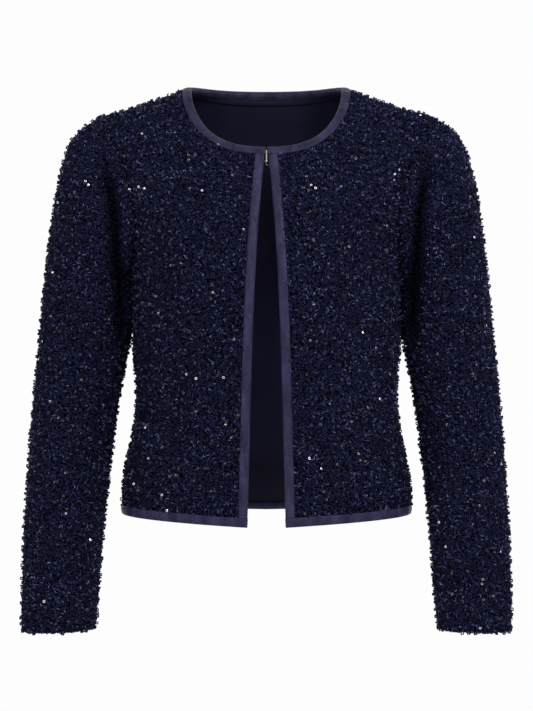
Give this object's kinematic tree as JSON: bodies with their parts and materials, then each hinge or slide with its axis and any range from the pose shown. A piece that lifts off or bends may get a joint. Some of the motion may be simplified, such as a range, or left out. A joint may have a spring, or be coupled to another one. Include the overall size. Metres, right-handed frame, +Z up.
{
  "type": "collarless cardigan jacket",
  "caption": "Short collarless boucle cardigan jacket with sequins, satin-bound edges and long sleeves, hooked at the neck and filled out as worn.",
  "frame": {"origin": "middle of the neck opening, level with the neck ends of the shoulder seams, where the wearer's shoulders and neck hold it", "axes": "+Z up, +X towards the wearer's left, the front faces -Y"},
  "size_m": [0.5376, 0.2256, 0.6039],
  "materials": {
    "boucle": "curly navy boucle with scattered sequins",
    "satin": "soft satin cut on the bias",
    "lining": "smooth dark lining",
    "metal": "small polished wire"
  },
  "bodies": {
    "root": {"back": "boucle", "front_left": "boucle", "front_right": "boucle", "sleeve_left": "boucle", "sleeve_right": "boucle", "lining_back": "lining", "neck_binding": "satin", "front_binding_left": "satin", "front_binding_right": "satin", "hem_binding": "satin", "eye": "metal", "hook": "metal"}
  },
  "joints": []
}
